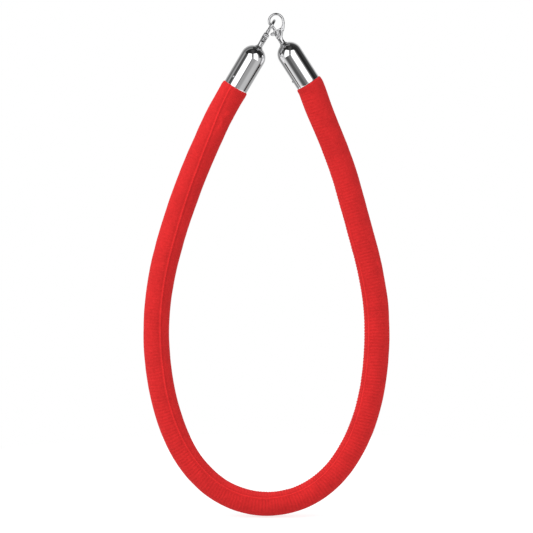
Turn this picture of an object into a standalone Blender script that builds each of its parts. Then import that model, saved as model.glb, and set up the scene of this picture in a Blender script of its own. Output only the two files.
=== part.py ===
"""Velour barrier rope: a padded rope with a chrome cap and a swivel trigger hook on each end, its two hooks
clipped together so that it hangs as a loop. Metres, +Z up. The front is towards -Y. The origin is the inside
of the right hook's bow, where the loop hangs on whatever holds it up."""

import math

import bmesh
import bpy
import numpy as np
from mathutils import Matrix, Vector

MM = 0.001

# ---- driving dimensions, in millimetres ----
ROPE_D = 38.0
SLEEVE_WALL = 0.9  # velour cloth
CORE_GAP = 1.2  # from the sleeve's outside to the core's outside
ROPE_SIDES = 4  # bevel resolution of the rope, twelve sides
ROPE_STEP = 25.0

CAP_R = 19.0
CAP_BORE_R = 17.8
CAP_LENGTH = 71.0
CAP_HOLE_R = 3.4
DOME_Z = -19.6  # centre of the dome, below the apex
SEAT_Z = -3.5

SHANK_R = 4.1
TAIL_R = 3.0
NUT_AF = 10.0
WIRE_R = 1.95
BODY_T = 7.6  # thickness of the forked body
WEB_T = 4.6
SLOT_T = 4.8
LEVER_T = 4.2
TAB_W = 9.0
PIVOT = (-0.8, 12.5)  # trigger pin, in the hook's own plane
PIN_R = 1.2
GATE_TOP = 30.5
NOSE_END = 31.1

BRAD_Z = -57.5
GAP = 0.3

# The two end fittings: apex of each cap, lean of its axis about Y, turn of its hook about that axis, and the
# side on which its brad sits, as an angle from the front towards -X.
HANG = (14.0, 41.75)  # resting point inside the right hook's bow, in the hook's own plane
RIGHT_LEAN = math.radians(-32.5)
LEFT_LEAN = math.radians(30.5)
RIGHT_APEX = Vector((10.6, 0.0, -42.7))
LEFT_APEX = Vector((-25.3, -10.0, -46.5))
RIGHT_TURN = 0.0
LEFT_TURN = math.radians(90.0)
LEFT_BRAD = math.radians(38.0)
RIGHT_BRAD = math.radians(80.0)

# The rope's hanging route between the two caps, as (x, z): down the left side, round the bottom, up the right.
ROUTE = [
    (-105, -192),
    (-133, -260),
    (-157, -330),
    (-175, -402),
    (-183, -475),
    (-179, -549),
    (-163, -621),
    (-131, -688),
    (-77, -737),
    (-5, -753),
    (64, -729),
    (113, -674),
    (141, -605),
    (153, -532),
    (154, -459),
    (143, -386),
    (124, -314),
    (104, -243),
    (79, -176),
    (61, -131),
]

# ---- scene ----
for old in list(bpy.data.objects):
    bpy.data.objects.remove(old, do_unlink=True)
scene = bpy.context.scene
parts = bpy.data.collections.new("velour_barrier_rope")
scene.collection.children.link(parts)


def material(name, colour, roughness, metallic):
    mat = bpy.data.materials.new(name)
    mat.use_nodes = True
    shader = mat.node_tree.nodes["Principled BSDF"]
    shader.inputs["Base Color"].default_value = (*colour, 1.0)
    shader.inputs["Roughness"].default_value = roughness
    shader.inputs["Metallic"].default_value = metallic
    return mat


VELOUR = material("red_velour", (0.62, 0.03, 0.03), 0.85, 0.0)
FOAM = material("core_foam", (0.75, 0.72, 0.64), 0.9, 0.0)
CHROME = material("chrome", (0.78, 0.78, 0.79), 0.08, 1.0)
STEEL = material("steel", (0.55, 0.55, 0.56), 0.3, 1.0)
WOOD = material("plug_wood", (0.55, 0.38, 0.22), 0.7, 0.0)
CORD = material("binding_cord", (0.70, 0.66, 0.58), 0.8, 0.0)


# ---- helpers ----
def link(obj):
    parts.objects.link(obj)
    return obj


def mesh_of(obj):
    """The evaluated mesh of an object, welded, with the object's own placement applied."""
    bpy.context.view_layer.update()
    graph = bpy.context.evaluated_depsgraph_get()
    mesh = bpy.data.meshes.new_from_object(obj.evaluated_get(graph))
    mesh.transform(obj.matrix_world)
    work = bmesh.new()
    work.from_mesh(mesh)
    bmesh.ops.remove_doubles(work, verts=work.verts, dist=1e-6)
    bmesh.ops.recalc_face_normals(work, faces=work.faces)
    work.to_mesh(mesh)
    work.free()
    return mesh


def solid(name, mesh):
    return link(bpy.data.objects.new(name, mesh))


def baked(obj):
    """Replaces an object by the same object with its modifiers applied."""
    mesh = mesh_of(obj)
    name = obj.name
    bpy.data.objects.remove(obj, do_unlink=True)
    return solid(name, mesh)


def plate(name, outline, thickness, bevel=0.0):
    """A flat outline in the hook's XZ plane, as thick as given across Y."""
    curve = bpy.data.curves.new(name, "CURVE")
    curve.dimensions = "2D"
    curve.fill_mode = "BOTH"
    curve.extrude = thickness / 2 * MM
    spline = curve.splines.new("POLY")
    spline.points.add(len(outline) - 1)
    for point, (x, z) in zip(spline.points, outline):
        point.co = (x * MM, z * MM, 0.0, 1.0)
    spline.use_cyclic_u = True
    flat = link(bpy.data.objects.new(name, curve))
    flat.rotation_euler = (math.radians(90), 0, 0)
    made = baked(flat)
    if bevel:
        edge = made.modifiers.new("edge", "BEVEL")
        edge.width = bevel * MM
        edge.segments = 2
        edge.limit_method = "ANGLE"
        edge.angle_limit = math.radians(40)
        made = baked(made)
    return made


def rod(name, points, radius, resolution=3, radii=None, caps=True):
    """A round tube along a line of points."""
    curve = bpy.data.curves.new(name, "CURVE")
    curve.dimensions = "3D"
    curve.bevel_depth = radius * MM
    curve.bevel_resolution = resolution
    curve.use_fill_caps = caps
    spline = curve.splines.new("POLY")
    spline.points.add(len(points) - 1)
    for i, point in enumerate(points):
        spline.points[i].co = (*[c * MM for c in point], 1.0)
        spline.points[i].radius = 1.0 if radii is None else radii[i]
    return link(bpy.data.objects.new(name, curve))


def turned(name, profile, steps=32, closed=True):
    """A profile of (radius, z) turned round Z. It runs down its outer side first."""
    mesh = bpy.data.meshes.new(name)
    edges = [(i, i + 1) for i in range(len(profile) - 1)]
    if closed:
        edges.append((len(profile) - 1, 0))
    mesh.from_pydata([(r * MM, 0.0, z * MM) for r, z in profile], edges, [])
    obj = solid(name, mesh)
    screw = obj.modifiers.new("turn", "SCREW")
    screw.steps = steps
    screw.render_steps = steps
    screw.use_merge_vertices = True
    screw.merge_threshold = 0.00001
    return baked(obj)


def cylinder(name, radius, low, high, axis="Z", sides=20, at=(0.0, 0.0)):
    """A capped cylinder from low to high along an axis. at is its place on the other two axes."""
    work = bmesh.new()
    bmesh.ops.create_cone(
        work,
        cap_ends=True,
        segments=sides,
        radius1=radius * MM,
        radius2=radius * MM,
        depth=(high - low) * MM,
    )
    mesh = bpy.data.meshes.new(name)
    work.to_mesh(mesh)
    work.free()
    mid = (low + high) / 2
    if axis == "Z":
        mesh.transform(Matrix.Translation(Vector((at[0], at[1], mid)) * MM))
    elif axis == "Y":
        turn = Matrix.Rotation(math.radians(90), 4, "X")
        mesh.transform(Matrix.Translation(Vector((at[0], mid, at[1])) * MM) @ turn)
    else:
        turn = Matrix.Rotation(math.radians(90), 4, "Y")
        mesh.transform(Matrix.Translation(Vector((mid, at[0], at[1])) * MM) @ turn)
    return solid(name, mesh)


def combine(target, others, operation):
    for other in others:
        modifier = target.modifiers.new(operation.lower(), "BOOLEAN")
        modifier.operation = operation
        modifier.solver = "EXACT"
        modifier.object = other
    made = baked(target)
    for other in others:
        bpy.data.objects.remove(other, do_unlink=True)
    return made


def smooth_line(points, count):
    """Points at equal steps along a natural cubic spline through the given points, by chord length."""
    route = np.array(points, float)
    t = np.concatenate([[0], np.cumsum(np.linalg.norm(np.diff(route, axis=0), axis=1))])
    n, h = len(t), np.diff(t)
    a, b = np.zeros((n, n)), np.zeros((n, route.shape[1]))
    a[0, 0] = a[-1, -1] = 1.0
    for i in range(1, n - 1):
        a[i, i - 1], a[i, i], a[i, i + 1] = h[i - 1], 2 * (h[i - 1] + h[i]), h[i]
        b[i] = 6 * ((route[i + 1] - route[i]) / h[i] - (route[i] - route[i - 1]) / h[i - 1])
    m = np.linalg.solve(a, b)

    def at(s):
        i = min(max(int(np.searchsorted(t, s) - 1), 0), n - 2)
        p, q = t[i + 1] - s, s - t[i]
        return (
            m[i] * p**3 / (6 * h[i])
            + m[i + 1] * q**3 / (6 * h[i])
            + (route[i] / h[i] - m[i] * h[i] / 6) * p
            + (route[i + 1] / h[i] - m[i + 1] * h[i] / 6) * q
        )

    fine = np.array([at(s) for s in np.linspace(0, t[-1], 2000)])
    run = np.concatenate([[0], np.cumsum(np.linalg.norm(np.diff(fine, axis=0), axis=1))])
    even = np.linspace(0, run[-1], count)
    return np.stack([np.interp(even, run, fine[:, k]) for k in range(fine.shape[1])], axis=1)


def finish(obj, mat, sharp=35):
    obj.data.materials.clear()
    obj.data.materials.append(mat)
    obj.data.shade_smooth()
    obj.data.set_sharp_from_angle(angle=math.radians(sharp))
    return obj


# ---- pieces of one end fitting, about the cap's apex with Z along its axis ----
def make_cap(brad_angle):
    outer = [(CAP_HOLE_R, 0.0), (5.2, 0.0), (5.7, -0.5), (6.2, -1.3)]
    for degrees in range(21, 91, 10):
        a = math.radians(degrees)
        outer.append((CAP_R * math.sin(a), DOME_Z + CAP_R * math.cos(a)))
    outer += [(CAP_R, -CAP_LENGTH + 0.4), (CAP_R - 0.3, -CAP_LENGTH)]
    inner = [(CAP_BORE_R + 0.2, -CAP_LENGTH), (CAP_BORE_R, -CAP_LENGTH + 0.3)]
    for degrees in range(90, 24, -11):
        a = math.radians(degrees)
        inner.append((CAP_BORE_R * math.sin(a), DOME_Z + CAP_BORE_R * math.cos(a)))
    inner += [(7.3, SEAT_Z), (CAP_HOLE_R, SEAT_Z)]
    cap = turned("cap", outer + inner)
    hole = cylinder("brad_hole", 1.4, 15.0, 22.0, "Y", 12, (0.0, BRAD_Z))
    hole.data.transform(Matrix.Rotation(math.pi - brad_angle, 4, "Z"))
    return combine(cap, [hole], "DIFFERENCE").data


def make_plug(brad_angle):
    neck, body = 14.5, CAP_BORE_R - 0.4
    plug = turned(
        "plug",
        [
            (0.0, -40.0),
            (body - 1.0, -40.0),
            (body, -41.0),
            (body, -61.6),
            (neck, -61.6),
            (neck, -70.0),
            (0.0, -70.0),
        ],
        closed=False,
    )
    hole = cylinder("brad_hole", 1.3, 8.0, 22.0, "Y", 12, (0.0, BRAD_Z))
    hole.data.transform(Matrix.Rotation(math.pi - brad_angle, 4, "Z"))
    return combine(plug, [hole], "DIFFERENCE").data


def make_brad(brad_angle):
    r = CAP_R
    brad = turned(
        "brad",
        [(0.0, r + 1.2), (1.0, r + 1.1), (1.7, r + 0.7), (1.9, r + GAP), (1.0, r + GAP), (1.0, 9.4), (0.0, 8.6)],
        steps=12,
        closed=False,
    )
    brad.data.transform(Matrix.Rotation(math.radians(90), 4, "X"))  # along -Y
    brad.data.transform(Matrix.Translation((0.0, 0.0, BRAD_Z * MM)))
    brad.data.transform(Matrix.Rotation(-brad_angle, 4, "Z"))
    return brad.data


def make_washer():
    return turned(
        "washer", [(CAP_HOLE_R, SEAT_Z - 0.3), (6.8, SEAT_Z - 0.3), (6.8, SEAT_Z - 1.8), (CAP_HOLE_R, SEAT_Z - 1.8)], 24
    ).data


def make_nut():
    low, high = SEAT_Z - 7.1, SEAT_Z - 2.1
    nut = cylinder("nut", NUT_AF / 2 / math.cos(math.radians(30)), low, high, "Z", 6)
    hole = cylinder("nut_hole", TAIL_R + GAP, low - 1, high + 1, "Z", 20)
    return combine(nut, [hole], "DIFFERENCE").data


def make_binding():
    low, high = -67.5, -63.5
    return turned("binding", [(16.65, high), (17.45, high), (17.45, low), (16.65, low)], 32).data


def make_hook():
    """Shank, tail, forked body, web, bow and nose, cast in one piece."""
    stem = turned(
        "stem",
        [
            (0.0, 11.0),
            (SHANK_R - 0.4, 11.0),
            (SHANK_R, 10.0),
            (SHANK_R, 1.6),
            (4.7, 0.9),
            (4.7, GAP),
            (TAIL_R, GAP),
            (TAIL_R, -11.2),
            (TAIL_R - 0.4, -11.6),
            (0.0, -11.6),
        ],
        20,
        closed=False,
    )
    fork = plate(
        "fork",
        [
            (-3.9, 4.0),
            (-4.1, 9.6),
            (-4.6, 11.2),
            (-4.7, 12.5),
            (-4.5, 13.8),
            (-3.8, 15.0),
            (-2.5, 16.0),
            (-0.5, 17.3),
            (1.2, 20.4),
            (2.6, 22.7),
            (9.3, 22.7),
            (11.0, 20.4),
            (10.6, 15.9),
            (7.3, 12.2),
            (4.3, 8.6),
            (3.9, 4.0),
        ],
        BODY_T,
        0.7,
    )
    web = plate(
        "web",
        [(6.0, 21.6), (9.0, 22.0), (12.2, 23.2), (14.6, 25.3), (16.4, 28.4), (19.3, 27.3), (18.2, 24.0), (15.7, 20.0), (11.6, 15.6), (6.5, 14.0)],
        WEB_T,
        0.8,
    )
    bow = rod(
        "bow",
        smooth_line(
            [
                (14.2, 0, 21.8),
                (16.6, 0, 24.9),
                (18.6, 0, 28.6),
                (19.8, 0, 32.5),
                (19.7, 0, 36.6),
                (18.3, 0, 40.2),
                (15.5, 0, 43.2),
                (11.8, 0, 44.8),
                (7.7, 0, 44.9),
                (3.7, 0, 43.4),
                (0.8, 0, 40.7),
                (-0.8, 0, 37.4),
                (-0.6, 0, 34.2),
                (0.3, 0, 32.6),
                (0.65, 0, NOSE_END),
            ],
            26,
        ),
        WIRE_R,
    )
    bow = baked(bow)
    cast = combine(stem, [fork, web, bow], "UNION")
    slot = plate("slot", [(-9.0, 8.6), (3.7, 8.6), (3.7, 12.5), (8.7, 22.9), (8.7, 26.0), (-9.0, 26.0)], SLOT_T)
    pin_hole = cylinder("pin_hole", PIN_R + GAP, -6.0, 6.0, "Y", 16, PIVOT)
    pocket = cylinder("spring_pocket", 1.75, 4.0, 9.4, "X", 12, (0.0, 16.6))
    return combine(cast, [slot, pin_hole, pocket], "DIFFERENCE").data


def make_trigger():
    """Gate lever with its thumb tab, about its own pivot."""
    outline = []
    for degrees in range(180, 361, 30):
        a = math.radians(degrees)
        outline.append((PIVOT[0] + 3.0 * math.cos(a), PIVOT[1] + 3.0 * math.sin(a)))
    outline += [
        (2.6, 14.5),
        (2.75, 17.0),
        (2.75, GATE_TOP),
        (-1.45, GATE_TOP),
        (-1.45, 24.6),
        (-2.6, 23.0),
        (-4.4, 22.0),
        (-4.6, 17.4),
        (-4.0, 14.6),
    ]
    blade = plate("blade", outline, LEVER_T, 0.6)
    tab = plate(
        "tab",
        [(-3.6, 23.0), (-8.0, 22.9), (-9.2, 21.4), (-8.8, 19.6), (-7.2, 17.8), (-5.4, 16.9), (-3.6, 16.9)],
        TAB_W,
        0.9,
    )
    lever = combine(blade, [tab], "UNION")
    hole = cylinder("pin_hole", PIN_R + GAP, -6.0, 6.0, "Y", 16, PIVOT)
    lever = combine(lever, [hole], "DIFFERENCE")
    lever.data.transform(Matrix.Translation(Vector((-PIVOT[0], 0.0, -PIVOT[1])) * MM))
    return lever.data


def make_pin():
    return cylinder("pin", PIN_R, -3.7, 3.7, "Y", 16, PIVOT).data


def make_spring():
    """Compression spring between the trigger's back and its pocket in the body, along X."""
    low, high, turns, per_turn, coil, wire = 3.35, 9.1, 5, 10, 1.2, 0.22
    points = []
    for i in range(turns * per_turn + 1):
        a = 2 * math.pi * i / per_turn
        x = low + (high - low) * i / (turns * per_turn)
        points.append((x, coil * math.cos(a), 16.6 + coil * math.sin(a)))
    return baked(rod("spring", points, wire, 2)).data


hook_mesh, trigger_mesh, pin_mesh, spring_mesh = make_hook(), make_trigger(), make_pin(), make_spring()
washer_mesh, nut_mesh, binding_mesh = make_washer(), make_nut(), make_binding()
for old in list(bpy.data.objects):
    bpy.data.objects.remove(old, do_unlink=True)


def empty(name, parent, location=(0.0, 0.0, 0.0), rotation=(0.0, 0.0, 0.0)):
    made = bpy.data.objects.new(name, None)
    made.empty_display_size = 0.02
    made.location = location
    made.rotation_euler = rotation
    made.parent = parent
    return link(made)


def place(name, mesh, mat, parent, location=(0.0, 0.0, 0.0)):
    obj = solid(name, mesh)
    obj.parent = parent
    obj.location = location
    return finish(obj, mat)


def end_fitting(side, apex, lean, turn, brad_angle):
    frame = empty(f"{side}_end_axis", None, apex * MM, (0.0, lean, 0.0))
    swivel = empty(f"{side}_swivel_axis", frame, rotation=(0.0, 0.0, turn))
    place(f"{side}_hook_body", hook_mesh, CHROME, swivel)
    place(f"{side}_trigger", trigger_mesh, CHROME, swivel, Vector((PIVOT[0], 0.0, PIVOT[1])) * MM)
    place(f"{side}_trigger_pin", pin_mesh, STEEL, swivel)
    place(f"{side}_trigger_spring", spring_mesh, STEEL, swivel)
    place(f"{side}_swivel_nut", nut_mesh, STEEL, swivel)
    place(f"{side}_swivel_washer", washer_mesh, STEEL, frame)
    made = {}
    for piece, maker in (("cap_shell", make_cap), ("end_plug", make_plug), ("cap_brad", make_brad)):
        made[piece] = maker(brad_angle)
        for left_over in [o for o in bpy.data.objects if o.data == made[piece]]:
            bpy.data.objects.remove(left_over, do_unlink=True)
    place(f"{side}_cap_shell", made["cap_shell"], CHROME, frame)
    place(f"{side}_end_plug", made["end_plug"], WOOD, frame)
    place(f"{side}_cap_brad", made["cap_brad"], CHROME, frame)
    place(f"{side}_binding", binding_mesh, CORD, frame)


end_fitting("left", LEFT_APEX, LEFT_LEAN, LEFT_TURN, LEFT_BRAD)
end_fitting("right", RIGHT_APEX, RIGHT_LEAN, RIGHT_TURN, RIGHT_BRAD)


# ---- the rope, from mouth to mouth ----
def axis_of(lean):
    return Vector((math.sin(lean), 0.0, math.cos(lean)))


def mouth(apex, lean):
    return apex - CAP_LENGTH * axis_of(lean)


left_mouth, right_mouth = mouth(LEFT_APEX, LEFT_LEAN), mouth(RIGHT_APEX, RIGHT_LEAN)
left_out, right_out = -axis_of(LEFT_LEAN), -axis_of(RIGHT_LEAN)


def sideways(fraction):
    """The rope crosses smoothly from the left hook's plane to the right hook's."""
    f = fraction * fraction * (3 - 2 * fraction)
    return left_mouth.y * (1 - f) + right_mouth.y * f


route = [tuple(left_mouth + left_out * s) for s in (9.0, 22.0)]
route += [(x, sideways((i + 1) / (len(ROUTE) + 1)), z) for i, (x, z) in enumerate(ROUTE)]
route += [tuple(right_mouth + right_out * 9.0)]
length = float(np.linalg.norm(np.diff(np.array(route), axis=0), axis=1).sum())
middle = [tuple(p) for p in smooth_line(route, int(length / ROPE_STEP))]

# distance out of the mouth, radius of the sleeve, radius of the core
TUCK = [(-8.6, 16.3, None), (-2.0, 16.3, None), (-0.5, 16.5, 14.9), (0.5, 17.1, 15.2), (2.6, 19.2, 17.3), (6.0, 19.5, 18.1)]
nominal = ROPE_D / 2


def rope_tube(name, column, radius, caps):
    ends = [row for row in TUCK if row[column] is not None]
    points = [left_mouth + left_out * row[0] for row in ends] + middle
    points += [right_mouth + right_out * row[0] for row in reversed(ends)]
    radii = [row[column] / radius for row in ends] + [1.0] * len(middle)
    radii += [row[column] / radius for row in reversed(ends)]
    return rod(name, points, radius, ROPE_SIDES, radii, caps)


core = baked(rope_tube("rope_core", 2, nominal - CORE_GAP, True))
finish(core, FOAM)
sleeve = baked(rope_tube("velour_sleeve", 1, nominal, False))
wall = sleeve.modifiers.new("cloth", "SOLIDIFY")
wall.thickness = SLEEVE_WALL * MM
wall.offset = -1.0
wall.use_even_offset = True
finish(sleeve, VELOUR)
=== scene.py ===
"""Look of the velour barrier rope: velour sleeve with its seam and gathers, polished caps, cast hooks, studio."""

import math

import bmesh
import bpy
import numpy as np
from mathutils import Matrix, Vector


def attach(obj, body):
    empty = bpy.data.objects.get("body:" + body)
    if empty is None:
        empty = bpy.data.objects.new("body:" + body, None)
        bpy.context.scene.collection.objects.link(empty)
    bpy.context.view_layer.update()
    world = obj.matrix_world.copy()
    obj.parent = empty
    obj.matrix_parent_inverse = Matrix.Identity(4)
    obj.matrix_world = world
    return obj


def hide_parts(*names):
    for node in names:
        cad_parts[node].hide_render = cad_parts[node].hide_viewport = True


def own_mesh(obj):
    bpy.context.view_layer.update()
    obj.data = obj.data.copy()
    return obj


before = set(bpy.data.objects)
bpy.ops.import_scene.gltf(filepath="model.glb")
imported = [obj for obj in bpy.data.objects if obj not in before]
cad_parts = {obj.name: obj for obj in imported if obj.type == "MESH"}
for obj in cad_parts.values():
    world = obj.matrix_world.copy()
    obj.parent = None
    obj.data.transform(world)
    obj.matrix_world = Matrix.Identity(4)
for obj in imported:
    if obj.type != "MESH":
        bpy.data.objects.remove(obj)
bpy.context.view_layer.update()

MM = 0.001
scene = bpy.context.scene

# ---- the design's own dimensions, in millimetres, as in the part ----
ROPE_R = 19.0
CAP_R, CAP_BORE_R, CAP_LENGTH, CAP_HOLE_R = 19.0, 17.8, 71.0, 3.4
DOME_Z, SEAT_Z = -19.6, -3.5
SHANK_R, TAIL_R, WIRE_R = 4.1, 3.0, 1.95
BODY_T, WEB_T, SLOT_T, LEVER_T, TAB_W = 7.6, 4.6, 4.8, 4.2, 9.0
PIVOT, PIN_R, GATE_TOP, NOSE_END = (-0.8, 12.5), 1.2, 30.5, 31.1
BRAD_Z, GAP = -57.5, 0.3
RIGHT_LEAN, LEFT_LEAN = math.radians(-32.5), math.radians(30.5)
RIGHT_APEX, LEFT_APEX = Vector((10.6, 0.0, -42.7)), Vector((-25.3, -10.0, -46.5))
RIGHT_TURN, LEFT_TURN = 0.0, math.radians(90.0)
LEFT_BRAD, RIGHT_BRAD = math.radians(38.0), math.radians(80.0)
ROUTE = [
    (-105, -192),
    (-133, -260),
    (-157, -330),
    (-175, -402),
    (-183, -475),
    (-179, -549),
    (-163, -621),
    (-131, -688),
    (-77, -737),
    (-5, -753),
    (64, -729),
    (113, -674),
    (141, -605),
    (153, -532),
    (154, -459),
    (143, -386),
    (124, -314),
    (104, -243),
    (79, -176),
    (61, -131),
]


def axis_of(lean):
    return Vector((math.sin(lean), 0.0, math.cos(lean)))


left_mouth = LEFT_APEX - CAP_LENGTH * axis_of(LEFT_LEAN)
right_mouth = RIGHT_APEX - CAP_LENGTH * axis_of(RIGHT_LEAN)
left_out, right_out = -axis_of(LEFT_LEAN), -axis_of(RIGHT_LEAN)


# ---- camera ----
CAM_TILT, CAM_AWAY, FRAME_WIDTH = math.radians(8.0), 9.0, 0.8148
AIM = Vector((-0.0145, -0.005, -0.3847))
camera = bpy.data.objects.new("camera", bpy.data.cameras.new("camera"))
scene.collection.objects.link(camera)
camera.data.sensor_width = 36.0
camera.data.lens = 36.0 * CAM_AWAY / FRAME_WIDTH
back = Vector((0.0, -math.cos(CAM_TILT), math.sin(CAM_TILT)))
camera.location = AIM + back * CAM_AWAY
camera.rotation_mode = "QUATERNION"
camera.rotation_quaternion = (-back).to_track_quat("-Z", "Y")
camera.data.clip_start, camera.data.clip_end = 0.1, 100.0
scene.camera = camera


# ---- helpers ----
def smooth_line(points, count):
    """Points at equal steps along a natural cubic spline through the given points, by chord length."""
    route = np.array(points, float)
    t = np.concatenate([[0], np.cumsum(np.linalg.norm(np.diff(route, axis=0), axis=1))])
    n, h = len(t), np.diff(t)
    a, b = np.zeros((n, n)), np.zeros((n, route.shape[1]))
    a[0, 0] = a[-1, -1] = 1.0
    for i in range(1, n - 1):
        a[i, i - 1], a[i, i], a[i, i + 1] = h[i - 1], 2 * (h[i - 1] + h[i]), h[i]
        b[i] = 6 * ((route[i + 1] - route[i]) / h[i] - (route[i] - route[i - 1]) / h[i - 1])
    m = np.linalg.solve(a, b)

    def at(s):
        i = min(max(int(np.searchsorted(t, s) - 1), 0), n - 2)
        p, q = t[i + 1] - s, s - t[i]
        return (
            m[i] * p**3 / (6 * h[i])
            + m[i + 1] * q**3 / (6 * h[i])
            + (route[i] / h[i] - m[i] * h[i] / 6) * p
            + (route[i + 1] / h[i] - m[i + 1] * h[i] / 6) * q
        )

    fine = np.array([at(s) for s in np.linspace(0, t[-1], 3000)])
    return even_steps(fine, count)


def even_steps(line, count):
    run = np.concatenate([[0], np.cumsum(np.linalg.norm(np.diff(line, axis=0), axis=1))])
    even = np.linspace(0, run[-1], count)
    return np.stack([np.interp(even, run, line[:, k]) for k in range(line.shape[1])], axis=1)


def smoothstep(x, low, high):
    t = np.clip((x - low) / (high - low), 0, 1)
    return t * t * (3 - 2 * t)


def value_noise(u, v, seed, period=None):
    """Smooth noise from -1 to 1 over u and v, on a unit lattice that repeats in v after period cells."""
    rng = np.random.default_rng(seed)
    nu = int(np.ceil(u.max())) + 3
    nv = period if period else int(np.ceil(v.max())) + 3
    table = rng.uniform(-1, 1, (nu, nv))
    iu, iv = np.floor(u).astype(int), np.floor(v).astype(int)
    fu, fv = u - iu, v - iv
    fu, fv = fu * fu * fu * (fu * (6 * fu - 15) + 10), fv * fv * fv * (fv * (6 * fv - 15) + 10)
    a = table[iu % nu, iv % nv]
    b = table[(iu + 1) % nu, iv % nv]
    c = table[iu % nu, (iv + 1) % nv]
    d = table[(iu + 1) % nu, (iv + 1) % nv]
    return (a * (1 - fu) + b * fu) * (1 - fv) + (c * (1 - fu) + d * fu) * fv


def link(obj):
    scene.collection.objects.link(obj)
    return obj


def evaluated(obj):
    bpy.context.view_layer.update()
    graph = bpy.context.evaluated_depsgraph_get()
    mesh = bpy.data.meshes.new_from_object(obj.evaluated_get(graph))
    mesh.transform(obj.matrix_world)
    work = bmesh.new()
    work.from_mesh(mesh)
    bmesh.ops.remove_doubles(work, verts=work.verts, dist=2e-7)
    bmesh.ops.recalc_face_normals(work, faces=work.faces)
    work.to_mesh(mesh)
    work.free()
    return mesh


def baked(obj):
    mesh, name = evaluated(obj), obj.name
    bpy.data.objects.remove(obj, do_unlink=True)
    return link(bpy.data.objects.new(name, mesh))


def rounded(outline, cuts=3):
    """An outline with its corners cut into smooth curves."""
    points = np.array(outline, float)
    for _ in range(cuts):
        following = np.roll(points, -1, axis=0)
        points = np.stack([points * 0.8 + following * 0.2, points * 0.2 + following * 0.8], axis=1).reshape(-1, 2)
    return [tuple(p) for p in points]


def plate(name, outline, thickness, bevel=0.0):
    curve = bpy.data.curves.new(name, "CURVE")
    curve.dimensions = "2D"
    curve.fill_mode = "BOTH"
    curve.extrude = thickness / 2 * MM
    spline = curve.splines.new("POLY")
    spline.points.add(len(outline) - 1)
    for point, (x, z) in zip(spline.points, outline):
        point.co = (x * MM, z * MM, 0.0, 1.0)
    spline.use_cyclic_u = True
    flat = link(bpy.data.objects.new(name, curve))
    flat.rotation_euler = (math.radians(90), 0, 0)
    made = baked(flat)
    if bevel:
        edge = made.modifiers.new("edge", "BEVEL")
        edge.width = bevel * MM
        edge.segments = 3
        edge.limit_method = "ANGLE"
        edge.angle_limit = math.radians(40)
        made = baked(made)
    return made


def rod(name, points, radius, resolution=8, radii=None):
    curve = bpy.data.curves.new(name, "CURVE")
    curve.dimensions = "3D"
    curve.bevel_depth = radius * MM
    curve.bevel_resolution = resolution
    curve.use_fill_caps = True
    spline = curve.splines.new("POLY")
    spline.points.add(len(points) - 1)
    for i, point in enumerate(points):
        spline.points[i].co = (*[c * MM for c in point], 1.0)
        spline.points[i].radius = 1.0 if radii is None else radii[i]
    return baked(link(bpy.data.objects.new(name, curve)))


def turned(name, profile, steps=64, closed=True):
    mesh = bpy.data.meshes.new(name)
    edges = [(i, i + 1) for i in range(len(profile) - 1)]
    if closed:
        edges.append((len(profile) - 1, 0))
    mesh.from_pydata([(r * MM, 0.0, z * MM) for r, z in profile], edges, [])
    obj = link(bpy.data.objects.new(name, mesh))
    screw = obj.modifiers.new("turn", "SCREW")
    screw.steps = steps
    screw.render_steps = steps
    screw.use_merge_vertices = True
    screw.merge_threshold = 0.000002
    return baked(obj)


def cylinder(name, radius, low, high, axis="Z", sides=32, at=(0.0, 0.0)):
    work = bmesh.new()
    bmesh.ops.create_cone(work, cap_ends=True, segments=sides, radius1=radius * MM, radius2=radius * MM, depth=(high - low) * MM)
    mesh = bpy.data.meshes.new(name)
    work.to_mesh(mesh)
    work.free()
    mid = (low + high) / 2
    if axis == "Z":
        mesh.transform(Matrix.Translation(Vector((at[0], at[1], mid)) * MM))
    elif axis == "Y":
        mesh.transform(Matrix.Translation(Vector((at[0], mid, at[1])) * MM) @ Matrix.Rotation(math.radians(90), 4, "X"))
    else:
        mesh.transform(Matrix.Translation(Vector((mid, at[0], at[1])) * MM) @ Matrix.Rotation(math.radians(90), 4, "Y"))
    return link(bpy.data.objects.new(name, mesh))


def combine(target, others, operation, solver="EXACT"):
    for other in others:
        modifier = target.modifiers.new(operation.lower(), "BOOLEAN")
        modifier.operation = operation
        modifier.solver = solver
        modifier.object = other
    made = baked(target)
    for other in others:
        bpy.data.objects.remove(other, do_unlink=True)
    return made


def crowned(name, outline, thickness, drop, width, bevel=0.0):
    """A plate whose faces rise from its edge to its middle, as a casting's do."""
    obj = plate(name, outline, thickness, bevel)
    fine = obj.modifiers.new("fine", "REMESH")
    fine.mode = "VOXEL"
    fine.voxel_size = 0.24 * MM
    obj = baked(obj)
    points = np.zeros(len(obj.data.vertices) * 3)
    obj.data.vertices.foreach_get("co", points)
    points = points.reshape(-1, 3)
    at = points[:, [0, 2]] / MM
    away = np.full(len(at), 1e9)
    ring = np.array(outline, float)
    for a, b in zip(ring, np.roll(ring, -1, axis=0)):
        side = b - a
        share = np.clip((at - a) @ side / max(side @ side, 1e-9), 0, 1)
        away = np.minimum(away, np.linalg.norm(at - a - share[:, None] * side, axis=1))
    shoulder = np.sqrt(np.clip(1 - (1 - np.clip(away / width, 0, 1)) ** 2, 0, 1))
    points[:, 1] *= 1 - drop * (1 - shoulder)
    obj.data.vertices.foreach_set("co", points.ravel())
    obj.data.update()
    return obj


def joined(objects):
    """Several overlapping closed solids as one object, before they are melted together."""
    work = bmesh.new()
    for obj in objects:
        work.from_mesh(obj.data)
        bpy.data.objects.remove(obj, do_unlink=True)
    mesh = bpy.data.meshes.new("joined")
    work.to_mesh(mesh)
    work.free()
    return link(bpy.data.objects.new("joined", mesh))


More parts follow.
